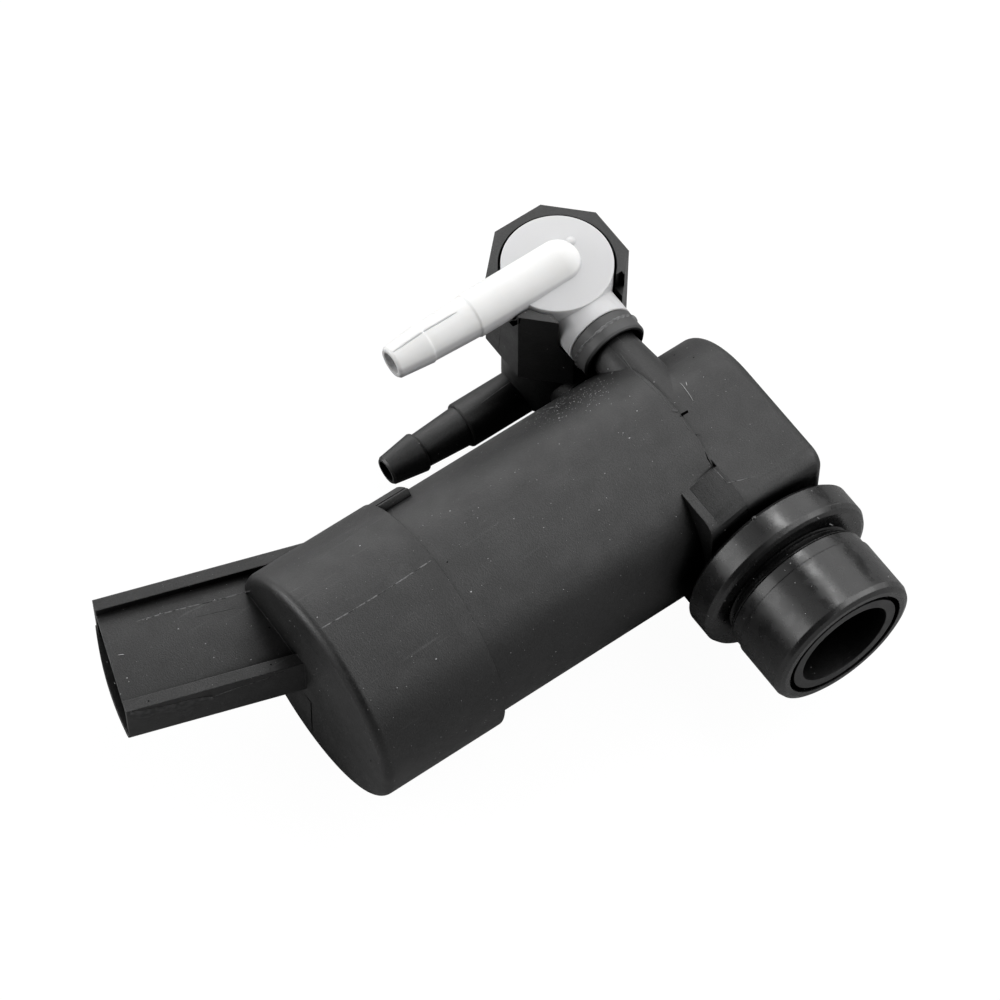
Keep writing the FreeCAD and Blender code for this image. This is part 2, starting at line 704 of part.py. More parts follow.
nodes = {
    "motor_housing": motor_housing(),
    "end_cap": end_cap(),
    "cap_seal": cap_seal(),
    "pump_cover": pump_cover(),
    "eye_plate": eye_plate(),
    "tank_grommet": tank_grommet(),
    "valve_cup": valve_cup(),
    "valve_cap": valve_cap(),
    "valve_diaphragm": valve_diaphragm(),
    "upper_outlet_collar": outlet_collar(1),
    "lower_outlet_collar": outlet_collar(-1),
    "motor_can": motor_can(),
    "upper_magnet": magnet(1),
    "lower_magnet": magnet(-1),
    "front_bearing": bush(bulkhead_rear_y + 1.7 - can_t),
    "rear_bearing": bush(plate_y + boss_front),
    "shaft_seal": shaft_seal(),
    "brush_plate": brush_plate(),
    "brush_a": brush(1),
    "brush_b": brush(-1),
    "brush_arm_a": brush_arm(1),
    "brush_arm_b": brush_arm(-1),
    "terminal_a": terminal(1),
    "terminal_b": terminal(-1),
    "shaft": shaft(),
    "armature_core": armature_core(),
    "armature_windings": armature_windings(),
    "commutator": commutator(),
    "impeller": impeller(),
}

os.makedirs("parts", exist_ok=True)
for name, solid in nodes.items():
    solid.exportStep("parts/" + name + ".step")
    print(name, "valid" if solid.isValid() else "NOT VALID", len(solid.Solids), round(solid.Volume, 1))
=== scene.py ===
# %% [markdown]
# # A windshield washer pump, dressed for its portrait
#
# The pump comes from the frame: every moulding, the rubber and the whole motor inside it are
# exact solids already. This lesson gives them the look of the real thing. It covers the camera
# that took the picture, a light that suits black plastic, the finish of each material, and
# the small traces that moulding leaves, such as parting lines and a rag of flash.

# %% Load the frame
import math
import random

import bmesh
import bpy
from mathutils import Matrix, Vector
from mathutils.bvhtree import BVHTree


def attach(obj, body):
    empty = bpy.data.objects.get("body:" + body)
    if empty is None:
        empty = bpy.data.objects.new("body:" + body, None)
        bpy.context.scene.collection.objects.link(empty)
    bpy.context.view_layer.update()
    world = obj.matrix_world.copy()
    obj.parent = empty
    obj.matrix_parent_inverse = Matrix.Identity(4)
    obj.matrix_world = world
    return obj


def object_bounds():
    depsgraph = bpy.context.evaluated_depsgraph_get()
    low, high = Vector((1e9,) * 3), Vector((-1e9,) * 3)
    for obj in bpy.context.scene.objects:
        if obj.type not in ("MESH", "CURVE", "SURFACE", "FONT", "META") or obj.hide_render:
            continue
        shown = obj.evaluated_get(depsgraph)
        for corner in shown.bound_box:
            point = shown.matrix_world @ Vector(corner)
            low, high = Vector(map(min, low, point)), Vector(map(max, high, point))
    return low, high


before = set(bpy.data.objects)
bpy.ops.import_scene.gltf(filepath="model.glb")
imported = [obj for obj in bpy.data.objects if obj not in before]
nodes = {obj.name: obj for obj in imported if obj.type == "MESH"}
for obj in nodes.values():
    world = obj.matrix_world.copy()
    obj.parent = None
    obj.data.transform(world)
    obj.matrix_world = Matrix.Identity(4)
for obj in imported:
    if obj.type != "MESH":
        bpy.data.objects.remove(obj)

cad_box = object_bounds()
MM = 0.001

# %% [markdown]
# ## The camera
#
# A picture tells where its camera stood. The straight edges of the motor give the direction,
# the ellipse of the tank port gives the tilt, and the way that lines draw together gives the
# distance. The alternative is to turn the camera by hand until it looks right, which never
# lands on the last millimetre. Here the numbers come from a fit to the outline, so they are
# written as a compass direction, a height over the horizon, a distance and a focal length.

# %% Place the camera
aim = Vector((-43.95, -26.74, 0.0)) * MM
azimuth, elevation, roll = math.radians(54.64), math.radians(60.16), math.radians(-0.07)
distance = 0.650
focal_in_pixels = 4401.67

forward = Vector((-math.sin(azimuth) * math.cos(elevation),
                  math.cos(azimuth) * math.cos(elevation),
                  -math.sin(elevation)))
right = forward.cross(Vector((0, 0, 1))).normalized()
up = right.cross(forward)
turn = Matrix.Rotation(-roll, 3, forward)
right, up = turn @ right, turn @ up

camera = bpy.data.objects.new("camera", bpy.data.cameras.new("camera"))
bpy.context.scene.collection.objects.link(camera)
camera.data.sensor_width = 36.0
camera.data.lens = 36.0 * focal_in_pixels / 1000
camera.data.clip_start = 0.05
place = Matrix((right, up, -forward)).transposed().to_4x4()
place.translation = aim - forward * distance
camera.matrix_world = place
bpy.context.scene.camera = camera
bpy.context.scene.view_settings.view_transform = "Standard"
print("lens", round(camera.data.lens, 2), "mm, camera at", [round(c, 3) for c in place.translation])

# %% [markdown]
# ## The floor
#
# The pump lies on white paper, and the photograph keeps only a breath of its shadow. Paper that
# is lit until it clips would flood the black plastic with light from below, so the floor shows
# a near white of its own to the camera and a dull grey to diffuse light. Gloss sees plain paper
# with the pump's own shadow on it, and a faint share of that keeps the halo round the pump.

# %% Lay the floor
def new_material(name):
    """An empty node material, with its tree and its output."""
    material = bpy.data.materials.new(name)
    material.use_nodes = True
    tree = material.node_tree
    tree.nodes.clear()
    return material, tree, tree.nodes.new("ShaderNodeOutputMaterial")


def node(tree, kind, **settings):
    """A node with its settings; a name like in_Scale sets an input socket."""
    made = tree.nodes.new(kind)
    for key, value in settings.items():
        if key.startswith("in_"):
            made.inputs[key[3:].replace("_", " ")].default_value = value
        else:
            setattr(made, key, value)
    return made


def calculate(tree, operation, first, second=None, clamp=False):
    """A math node; each operand is a number or another node's output."""
    made = node(tree, "ShaderNodeMath", operation=operation, use_clamp=clamp)
    for index, operand in enumerate((first, second)):
        if operand is None:
            continue
        if isinstance(operand, (int, float)):
            made.inputs[index].default_value = operand
        else:
            tree.links.new(operand, made.inputs[index])
    return made.outputs[0]


paper, tree, output = new_material("white_paper")
rays = node(tree, "ShaderNodeLightPath")
seen = calculate(tree, "MAXIMUM", rays.outputs["Is Camera Ray"], rays.outputs["Is Transmission Ray"])
dull = node(tree, "ShaderNodeBsdfDiffuse", in_Color=(0.1, 0.1, 0.1, 1))
mirrored = node(tree, "ShaderNodeBsdfDiffuse", in_Color=(0.35, 0.35, 0.35, 1))
faint = node(tree, "ShaderNodeBsdfDiffuse", in_Color=(0.05, 0.05, 0.05, 1))
glow = node(tree, "ShaderNodeEmission", in_Color=(1, 1, 1, 1), in_Strength=0.97)
lit = node(tree, "ShaderNodeAddShader")
to_gloss, to_camera = node(tree, "ShaderNodeMixShader"), node(tree, "ShaderNodeMixShader")
for source, target, socket in (
        (faint.outputs[0], lit, 0), (glow.outputs[0], lit, 1),
        (rays.outputs["Is Glossy Ray"], to_gloss, 0),
        (dull.outputs[0], to_gloss, 1), (mirrored.outputs[0], to_gloss, 2),
        (seen, to_camera, 0), (to_gloss.outputs[0], to_camera, 1), (lit.outputs[0], to_camera, 2)):
    tree.links.new(source, target.inputs[socket])
tree.links.new(to_camera.outputs[0], output.inputs["Surface"])

floor_gap = 0.1 * MM
floor_z = cad_box[0][2] - floor_gap
half = 1.6
mesh = bpy.data.meshes.new("floor")
mesh.from_pydata([(x * half, y * half, floor_z) for x, y in ((-1, -1), (1, -1), (1, 1), (-1, 1))],
                 [], [(0, 1, 2, 3)])
floor = bpy.data.objects.new("floor", mesh)
bpy.context.scene.collection.objects.link(floor)
floor.data.materials.append(paper)
print("floor at", round(floor_z * 1000, 2), "mm")

# %% [markdown]
# ## The light
#
# Black plastic shows its shape through what it mirrors, not through its colour. One lamp would
# give it one hard streak, so the pump sits in a tent of softboxes instead, hung in three rings
# round it. The side towards the viewer stays empty, which is why the faces that turn that way
# are nearly black. Each box has its compass direction, its height in degrees and its power, and
# the balance comes from comparing how bright every face is in the picture. One small box draws
# the sharp streak on the rubber.

# %% Hang the lamps
middle = Vector((-0.035, -0.03, 0))
lamp_distance, lamp_size = 0.85, 0.42


def softbox(azimuth, elevation, power, size=lamp_size):
    """A square area lamp on a big sphere round the pump, facing it."""
    lamp = bpy.data.objects.new("softbox", bpy.data.lights.new("softbox", "AREA"))
    bpy.context.scene.collection.objects.link(lamp)
    across, above = math.radians(azimuth), math.radians(elevation)
    outward = Vector((math.cos(across) * math.cos(above), math.sin(across) * math.cos(above),
                      math.sin(above)))
    lamp.data.size = size
    lamp.data.energy = power
    lamp.location = middle + outward * lamp_distance
    lamp.rotation_euler = (-outward).to_track_quat("-Z", "Y").to_euler()


low_ring = [(45, 0.7), (90, 0.9), (135, 0.8), (180, 1.6), (225, 3.6), (270, 0.4)]
middle_ring = [(22, 1.5), (67, 1.7), (112, 0.9), (157, 1.6), (247, 1.3)]
high_ring = [(60, 1.7), (120, 0.9), (240, 0.3)]
for elevation_of_ring, ring in ((10, low_ring), (34, middle_ring), (62, high_ring)):
    for compass, watts in ring:
        softbox(compass, elevation_of_ring, watts)
small_box = 0.16
softbox(146, 64, 0.6, small_box)

world = bpy.data.worlds.new("studio")
bpy.context.scene.world = world
world.use_nodes = True
tree = world.node_tree
tree.nodes.clear()
sky = node(tree, "ShaderNodeBackground", in_Color=(1, 1, 1, 1), in_Strength=0.05)
white = node(tree, "ShaderNodeBackground", in_Color=(1, 1, 1, 1), in_Strength=1.0)
rays = node(tree, "ShaderNodeLightPath")
choice = node(tree, "ShaderNodeMixShader")
tree.links.new(rays.outputs["Is Camera Ray"], choice.inputs[0])
tree.links.new(sky.outputs[0], choice.inputs[1])
tree.links.new(white.outputs[0], choice.inputs[2])
tree.links.new(choice.outputs[0], node(tree, "ShaderNodeOutputWorld").inputs["Surface"])

# %% [markdown]
# ## Moulded black plastic
#
# The housing is nylon with short glass fibres. Close up it isn't one black: fibres near the
# skin show as fine grey grain, the tool leaves broad cloudy patches, and dust sits on it as
# sparse white specks. A flat colour with a bump map would look like paint. Three layers of
# procedural noise at the real sizes give each of these, in the part's own coordinates, so that
# the grain stays put from every side. Deep recesses get painted shade: a measure of how open a
# spot lies takes colour and gloss away there.

# %% Plastic material
def clouds(tree, place, per_metre, detail=2.0, roughness=0.5):
    """Smooth noise with so many waves to the metre, from 0 to 1."""
    made = node(tree, "ShaderNodeTexNoise", in_Scale=per_metre, in_Detail=detail, in_Roughness=roughness)
    tree.links.new(place, made.inputs["Vector"])
    return made.outputs["Fac"]


def spread(tree, value, low, high, to_low=0.0, to_high=1.0):
    """Stretches a part of a value's range over another range, and clamps it there."""
    made = node(tree, "ShaderNodeMapRange", interpolation_type="SMOOTHSTEP")
    for socket, number in (("From Min", low), ("From Max", high), ("To Min", to_low), ("To Max", to_high)):
        made.inputs[socket].default_value = number
    tree.links.new(value, made.inputs["Value"])
    return made.outputs[0]


def specks(tree, place, per_metre, kept, radius):
    """Sparse round dots: one to a cell at most, in the given share of the cells."""
    cells = node(tree, "ShaderNodeTexVoronoi", in_Scale=per_metre)
    tree.links.new(place, cells.inputs["Vector"])
    split = node(tree, "ShaderNodeSeparateColor")
    tree.links.new(cells.outputs["Color"], split.inputs[0])
    chosen = calculate(tree, "LESS_THAN", split.outputs[0], kept)
    size = calculate(tree, "MULTIPLY", split.outputs[1], radius)
    inside = calculate(tree, "SUBTRACT", size, cells.outputs["Distance"])
    inside = calculate(tree, "MULTIPLY", inside, 2.2 / radius, clamp=True)
    return calculate(tree, "MULTIPLY", inside, chosen)


def mixed(tree, amount, first, second):
    """One colour over another, by an amount."""
    made = node(tree, "ShaderNodeMix", data_type="RGBA")
    if isinstance(amount, (int, float)):
        made.inputs[0].default_value = amount
    else:
        tree.links.new(amount, made.inputs[0])
    for index, colour in ((6, first), (7, second)):
        if isinstance(colour, tuple):
            made.inputs[index].default_value = colour
        else:
            tree.links.new(colour, made.inputs[index])
    return made.outputs[2]


def grey(value):
    """A nearly neutral grey as a colour, a touch cool."""
    return (value, value, value * 1.01, 1)


def openness(tree, reach):
    """From 0 deep in a recess to 1 out in the open."""
    round_about = node(tree, "ShaderNodeAmbientOcclusion", samples=8, in_Distance=reach * MM)
    return spread(tree, round_about.outputs["AO"], 0.3, 0.75, 0.04)


def moulded_plastic(name, dark, light, roughness, grain, dust, edge=0.25, scratched=0.25):
    """Black nylon: cloudy tone, fibre grain, fine scratches, dust, softly broken edges and painted shade in
    recesses.
    """
    material, tree, output = new_material(name)
    place = node(tree, "ShaderNodeTexCoord").outputs["Object"]
    patches = spread(tree, clouds(tree, place, 55, 5.0, 0.6), 0.35, 0.7)
    fibres = clouds(tree, place, 4200, 2.0, 0.7)
    tone = mixed(tree, patches, grey(dark), grey(light))
    tone = mixed(tree, spread(tree, fibres, 0.3, 0.75, 0.0, grain), tone, grey(light * 4))
    worn = node(tree, "ShaderNodeMapping", in_Rotation=(0.3, 0.2, 0.9), in_Scale=(1.0, 0.06, 1.0))
    tree.links.new(place, worn.inputs["Vector"])
    lines = spread(tree, clouds(tree, worn.outputs[0], 2200, 1.0), 0.6, 0.72)
    scuffed = spread(tree, clouds(tree, place, 90, 2.0), 0.5, 0.68)
    scratches = calculate(tree, "MULTIPLY", calculate(tree, "MULTIPLY", lines, scuffed), scratched)
    tone = mixed(tree, scratches, tone, grey(light * 5))
    fine_dots = specks(tree, place, 900, dust * 2, 0.06)
    dots = specks(tree, place, 330, dust * 0.6, 0.045)
    tone = mixed(tree, calculate(tree, "MULTIPLY", fine_dots, 0.3), tone, grey(0.35))
    tone = mixed(tree, dots, tone, grey(0.5))
    # Painted shade: deep in recesses the tone goes to near black and the gloss is dimmed.
    open_air = openness(tree, 22)
    tone = mixed(tree, open_air, grey(0.001), tone)
    shader = node(tree, "ShaderNodeBsdfPrincipled")
    tree.links.new(calculate(tree, "MULTIPLY", open_air, 0.55), shader.inputs["Specular IOR Level"])
    tree.links.new(tone, shader.inputs["Base Color"])
    rough = spread(tree, clouds(tree, place, 240, 5.0, 0.6), 0.3, 0.7, roughness - 0.05, roughness + 0.06)
    tree.links.new(rough, shader.inputs["Roughness"])
    soft = node(tree, "ShaderNodeBevel", samples=4, in_Radius=edge * MM)
    relief = node(tree, "ShaderNodeBump", in_Strength=0.8, in_Distance=0.00005)
    height = calculate(tree, "ADD", fibres, calculate(tree, "MULTIPLY", dots, 2.0))
    tree.links.new(height, relief.inputs["Height"])
    tree.links.new(soft.outputs[0], relief.inputs["Normal"])
    tree.links.new(relief.outputs[0], shader.inputs["Normal"])
    tree.links.new(shader.outputs[0], output.inputs["Surface"])
    return material


def dress(material, *names):
    """Gives CAD nodes a material, in every slot that they have."""
    for name in names:
        mesh = nodes[name].data
        if not mesh.materials:
            mesh.materials.append(material)
        for index in range(len(mesh.materials)):
            mesh.materials[index] = material
    print(material.name, "on", ", ".join(names))


housing_nylon = moulded_plastic("housing_nylon", 0.005, 0.008, 0.44, 0.45, 0.06)
cap_nylon = moulded_plastic("cap_nylon", 0.005, 0.009, 0.46, 0.4, 0.05, scratched=0.7)
cup_nylon = moulded_plastic("cup_nylon", 0.005, 0.008, 0.42, 0.45, 0.06, edge=0.15)
dress(housing_nylon, "motor_housing", "pump_cover")
dress(cap_nylon, "end_cap")
dress(cup_nylon, "valve_cup")

# %% [markdown]
# ## Rubber
#
# The grommet is smoother than the nylon and a little oily, so it holds a sharper streak of
# light. It has no fibre grain, only a faint unevenness of the gloss, and it takes more dust
# because it is slightly tacky.

# %% Rubber material
def rubber(name, tone, roughness, dust):
    """Black rubber: even colour, uneven gloss, dust that clings, and painted shade in recesses."""
    material, tree, output = new_material(name)
    place = node(tree, "ShaderNodeTexCoord").outputs["Object"]
    patches = spread(tree, clouds(tree, place, 120, 3.0), 0.3, 0.7)
    colour = mixed(tree, patches, grey(tone * 0.8), grey(tone * 1.2))
    dots = specks(tree, place, 380, dust, 0.06)
    colour = mixed(tree, dots, colour, grey(0.6))
    # Painted shade: deep in recesses the colour goes to near black and the gloss is dimmed.
    open_air = openness(tree, 12)
    colour = mixed(tree, open_air, grey(0.001), colour)
    shader = node(tree, "ShaderNodeBsdfPrincipled")
    tree.links.new(calculate(tree, "MULTIPLY", open_air, 0.7), shader.inputs["Specular IOR Level"])
    tree.links.new(colour, shader.inputs["Base Color"])
    rough = spread(tree, clouds(tree, place, 420, 4.0), 0.25, 0.75, roughness - 0.06, roughness + 0.09)
    tree.links.new(rough, shader.inputs["Roughness"])
    soft = node(tree, "ShaderNodeBevel", samples=4, in_Radius=0.2 * MM)
    relief = node(tree, "ShaderNodeBump", in_Strength=0.15, in_Distance=0.00004)
    tree.links.new(clouds(tree, place, 1500, 3.0), relief.inputs["Height"])
    tree.links.new(soft.outputs[0], relief.inputs["Normal"])
    tree.links.new(relief.outputs[0], shader.inputs["Normal"])
    tree.links.new(shader.outputs[0], output.inputs["Surface"])
    return material


grommet_rubber = rubber("grommet_rubber", 0.009, 0.26, 0.10)
seal_rubber = rubber("seal_rubber", 0.045, 0.5, 0.05)
dress(grommet_rubber, "tank_grommet")
dress(seal_rubber, "cap_seal", "valve_diaphragm", "shaft_seal", "upper_outlet_collar", "lower_outlet_collar")

# %% [markdown]
# ## Natural nylon
#
# The upper half of the valve is uncoloured nylon, which lets a little light in. That is why
# its shadows are pale and its edges glow. Subsurface scattering gives this with one setting;
# a plain white diffuse would look like chalk. The disc over the chamber is thin, and the dark
# cup under it takes some of its white away, so the tone drops below the height of the nozzle.

# %% White plastic material
def natural_nylon(name, tone, roughness, thin_below=None):
    """Off-white plastic that light enters by about a millimetre."""
    material, tree, output = new_material(name)
    place = node(tree, "ShaderNodeTexCoord").outputs["Object"]
    patches = spread(tree, clouds(tree, place, 140, 3.0), 0.3, 0.7)
    dots = specks(tree, place, 260, 0.035, 0.05)
    colour = mixed(tree, patches, (tone, tone, tone * 0.99, 1), (tone * 0.96, tone * 0.96, tone * 0.95, 1))
    colour = mixed(tree, dots, colour, grey(0.16))
    if thin_below is not None:
        height = node(tree, "ShaderNodeSeparateXYZ")
        tree.links.new(place, height.inputs[0])
        thick = spread(tree, height.outputs[2], (thin_below - 0.4) * MM, (thin_below + 0.4) * MM)
        colour = mixed(tree, thick, grey(tone * 0.72), colour)
    shader = node(tree, "ShaderNodeBsdfPrincipled")
    shader.inputs["Subsurface Weight"].default_value = 0.6
    shader.inputs["Subsurface Radius"].default_value = (1.0, 0.95, 0.9)
    shader.inputs["Subsurface Scale"].default_value = 0.0012
    shader.inputs["Specular IOR Level"].default_value = 0.4
    tree.links.new(colour, shader.inputs["Base Color"])
    rough = spread(tree, clouds(tree, place, 300, 3.0), 0.25, 0.75, roughness - 0.05, roughness + 0.08)
    tree.links.new(rough, shader.inputs["Roughness"])
    soft = node(tree, "ShaderNodeBevel", samples=4, in_Radius=0.25 * MM)
    relief = node(tree, "ShaderNodeBump", in_Strength=0.12, in_Distance=0.00004)
    tree.links.new(clouds(tree, place, 900, 3.0), relief.inputs["Height"])
    tree.links.new(soft.outputs[0], relief.inputs["Normal"])
    tree.links.new(relief.outputs[0], shader.inputs["Normal"])
    tree.links.new(shader.outputs[0], output.inputs["Surface"])
    return material


white_nylon = natural_nylon("white_nylon", 0.84, 0.42, thin_below=16.2)
acetal = natural_nylon("acetal", 0.74, 0.38)
dress(white_nylon, "valve_cap")
dress(acetal, "impeller", "eye_plate")

# %% [markdown]
# ## Metals and the motor
#
# Nothing of the motor shows while the pump is whole, but the part may be cut open or posed
# without its cap, so each piece has its real finish. They share one recipe: a metallic
# shader, a tint, a roughness that varies, and fine lines along the axis where metal was
# turned or drawn.

# %% Metal and ceramic materials
def metal(name, colour, roughness, metallic=1.0, grain=900):
    """A metal or a sintered block with an uneven polish."""
    material, tree, output = new_material(name)
    place = node(tree, "ShaderNodeTexCoord").outputs["Object"]
    drawn = node(tree, "ShaderNodeMapping")
    drawn.inputs["Scale"].default_value = (1.0, 0.12, 1.0)
    tree.links.new(place, drawn.inputs["Vector"])
    lines = clouds(tree, drawn.outputs[0], grain, 4.0, 0.6)
    worn = tuple(channel * 0.8 for channel in colour)
    tint = mixed(tree, spread(tree, lines, 0.35, 0.65), (*colour, 1), (*worn, 1))
    shader = node(tree, "ShaderNodeBsdfPrincipled")
    shader.inputs["Metallic"].default_value = metallic
    tree.links.new(tint, shader.inputs["Base Color"])
    rough = spread(tree, lines, 0.3, 0.7, roughness * 0.8, roughness * 1.2)
    tree.links.new(rough, shader.inputs["Roughness"])
    tree.links.new(shader.outputs[0], output.inputs["Surface"])
    return material


dress(metal("zinc_steel", (0.62, 0.63, 0.65), 0.3), "motor_can")
dress(metal("ferrite", (0.07, 0.07, 0.075), 0.6, metallic=0.0), "upper_magnet", "lower_magnet")
dress(metal("sintered_bronze", (0.55, 0.38, 0.22), 0.5), "front_bearing", "rear_bearing")
dress(metal("phenolic", (0.22, 0.13, 0.07), 0.55, metallic=0.0), "brush_plate")
dress(metal("carbon", (0.05, 0.05, 0.05), 0.5, metallic=0.3), "brush_a", "brush_b")
dress(metal("spring_brass", (0.75, 0.55, 0.28), 0.3), "brush_arm_a", "brush_arm_b")
dress(metal("tinned_brass", (0.72, 0.71, 0.68), 0.25), "terminal_a", "terminal_b")
dress(metal("ground_steel", (0.62, 0.62, 0.64), 0.2), "shaft")
dress(metal("core_steel", (0.32, 0.32, 0.34), 0.45), "armature_core")
dress(metal("copper", (0.75, 0.36, 0.2), 0.35), "armature_windings", "commutator")

# %% [markdown]
# ## Finding a place on the skin
#
# The traces below are known from where they show in the picture. A line of sight through that
# place, cast on the real surfaces, gives the point on the skin and which way the skin faces
# there. So every trace lies on the plastic that carries it and stays true from any side, which a
# place typed in by eye would not.

# %% Cast a line of sight on the pump
def skin_of(*things):
    """The outside of some CAD nodes or pieces, for casting rays on."""
    corners, faces = [], []
    for thing in things:
        thing = nodes[thing] if isinstance(thing, str) else thing
        start = len(corners)
        corners += [thing.matrix_world @ corner.co for corner in thing.data.vertices]
        faces += [[start + index for index in face.vertices] for face in thing.data.polygons]
    return BVHTree.FromPolygons(corners, faces)


everything = skin_of(*nodes)
on_housing = skin_of("motor_housing", "pump_cover")
on_cap, on_cup, on_white = skin_of("end_cap"), skin_of("valve_cup"), skin_of("valve_cap")


def behind(x, y, skin):
    """The point of the skin that shows at a place in the picture, and its outward direction."""
    sight = (forward * focal_in_pixels + right * (x - 500) + up * (500 - y)).normalized()
    point, outward, _, _ = skin.ray_cast(place.translation, sight)
    if point is None:
        return None, None
    return point, -outward if outward.dot(sight) > 0 else outward


def along(corners, step=3.0):
    """Evenly spaced places on a line with corners, both in picture pixels."""
    places = []
    for (x0, y0), (x1, y1) in zip(corners, corners[1:]):
        parts = max(1, round(math.dist((x0, y0), (x1, y1)) / step))
        places += [(x0 + (x1 - x0) * i / parts, y0 + (y1 - y0) * i / parts) for i in range(parts)]
    return places + [corners[-1]]


to_barrel = (behind(560, 540, on_housing)[0] - place.translation).length
print("the middle of the barrel lies", round(to_barrel / MM, 1), "mm from the camera")

# %% [markdown]
# ## Parting lines
#
# Where the steel halves of the mould meet, a little plastic creeps into the joint and leaves a
# fine raised line. It is a tenth of a millimetre wide, but it catches light, so the eye finds it
# at once. Each line here is a low ridge that is swept over the skin and thins out at both ends.
# A drawn line or a bump map would vanish against the light. On the black parts most ridges are a
# paler nylon, a painted highlight for the light they catch, and two are near-black, a painted
# shadow along a small step.

# %% Sweep ridges over the skin
def closed_sheet(name, rows, material, sink=0.06):
    """A thin solid over the skin, from rows of (point, outward, height in mm)."""
    across, down = len(rows[0]), len(rows)
    top = [point + outward * height * MM for row in rows for point, outward, height in row]
    bottom = [point - outward * sink * MM for row in rows for point, outward, _ in row]
    count = across * down
    faces = []
    for i in range(down - 1):
        for j in range(across - 1):
            a, b, c, d = i * across + j, i * across + j + 1, (i + 1) * across + j + 1, (i + 1) * across + j
            faces += [(a, b, c, d), (d + count, c + count, b + count, a + count)]
    rim = (list(range(across)) + [i * across + across - 1 for i in range(1, down)]
           + [(down - 1) * across + j for j in range(across - 2, -1, -1)]
           + [i * across for i in range(down - 2, 0, -1)])
    for here, ahead in zip(rim, rim[1:] + rim[:1]):
        faces.append((here, here + count, ahead + count, ahead))
    return settle(name, top + bottom, faces, material)


def settle(name, corners, faces, material):
    """Makes a piece of corners and faces, with its faces turned outward."""
    mesh = bpy.data.meshes.new(name)
    mesh.from_pydata([tuple(corner) for corner in corners], [], faces)
    shape = bmesh.new()
    shape.from_mesh(mesh)
    bmesh.ops.recalc_face_normals(shape, faces=shape.faces)
    return ride_on_housing(mesh, shape, material)


def ride_on_housing(mesh, shape, material):
    """Puts a finished shape into the scene as a piece that moves with the housing."""
    shape.to_mesh(mesh)
    shape.free()
    piece = bpy.data.objects.new(mesh.name, mesh)
    bpy.context.scene.collection.objects.link(piece)
    mesh.materials.append(material)
    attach(piece, "housing")
    return piece


def ridge(name, corners, skin, material, width=0.2, height=0.06):
    """A low ridge under a line of the picture, tapered at its ends."""
    found = [behind(x, y, skin) for x, y in along(corners)]
    found = [(point, outward) for point, outward in found if point is not None]
    rows = []
    for k, (point, outward) in enumerate(found):
        ahead = found[min(k + 1, len(found) - 1)][0] - found[max(k - 1, 0)][0]
        side = outward.cross(ahead).normalized()
        taper = min(1.0, 0.25 + 0.25 * min(k, len(found) - 1 - k))
        reach = side * width * MM / 2 * taper
        rows.append([(point - reach, outward, 0), (point, outward, height * taper),
                     (point + reach, outward, 0)])
    return closed_sheet(name, rows, material)


def plain(name, low, high, shine=0.3):
    """A plain matt material with a mottled tone, for lines, grains and fibres."""
    material, tree, output = new_material(name)
    place_on = node(tree, "ShaderNodeTexCoord").outputs["Object"]
    shader = node(tree, "ShaderNodeBsdfPrincipled", in_Roughness=0.7)
    shader.inputs["Specular IOR Level"].default_value = shine
    mottle = spread(tree, clouds(tree, place_on, 1300, 2.0), 0.35, 0.65)
    tree.links.new(mixed(tree, mottle, grey(low), grey(high)), shader.inputs["Base Color"])
    tree.links.new(shader.outputs[0], output.inputs["Surface"])
    return material


# Paler nylons for ridges, flash and a flake: a painted highlight for the light they catch.
painted_highlight_nylon = plain("painted_highlight_nylon", 0.03, 0.06, 0.5)
bright_painted_highlight_nylon = plain("bright_painted_highlight_nylon", 0.03, 0.17)
# Near-black without gloss: painted shadow, for a slot, a notch and two small steps.
painted_shadow = plain("painted_shadow", 0.0005, 0.001, 0.0)
ridges = [
    ridge("duct_parting_line", [(619, 352), (632, 370), (640, 377), (654, 390), (672, 408), (680, 416)],
          on_housing, painted_highlight_nylon, 0.15, 0.05),
    ridge("spigot_parting_line", [(617, 337), (622, 342)], on_housing, painted_highlight_nylon),
    ridge("duct_foot_line", [(683, 420), (690, 432)], on_housing, painted_highlight_nylon),
    ridge("head_line_a", [(694, 433), (702, 436)], on_housing, painted_highlight_nylon),
    # A near-black line at a small step: painted shadow.
    ridge("head_line_b", [(705, 451.5), (708, 459), (712, 466)], on_housing, painted_shadow, 0.2, 0.05),
    ridge("cap_mould_line", [(311.7, 634), (353.3, 610), (396.7, 583.3), (431.7, 560)],
          on_cap, bright_painted_highlight_nylon, 0.2, 0.04),
    # A near-black line at a small step of the end face: painted shadow.
    ridge("cap_end_line", [(304, 693), (311, 702.5), (312.5, 739)], on_cap, painted_shadow, 0.26, 0.05),
    ridge("crown_line_a", [(135, 622), (165, 613), (189, 607), (225, 598), (251, 590.6)],
          on_cap, bright_painted_highlight_nylon, 0.2, 0.05),
    ridge("crown_line_b", [(195, 617), (239, 607)], on_cap, painted_highlight_nylon, 0.2, 0.05),
    ridge("lower_rail_line", [(213, 697), (237, 688), (265, 679), (295, 667)],
          on_cap, bright_painted_highlight_nylon, 0.2, 0.05),
    ridge("cup_corner_line", [(500.6, 327), (498, 355)], on_cup, painted_highlight_nylon, 0.18, 0.05),
    ridge("lower_nozzle_line", [(480, 404), (510, 382)], on_cup, painted_highlight_nylon, 0.16, 0.04),
    ridge("white_nozzle_line", [(393, 352), (424, 331), (457, 312)], on_white, white_nylon, 0.3, 0.02),
]
print("ridges:", len(ridges), "with", sum(len(piece.data.polygons) for piece in ridges), "faces")

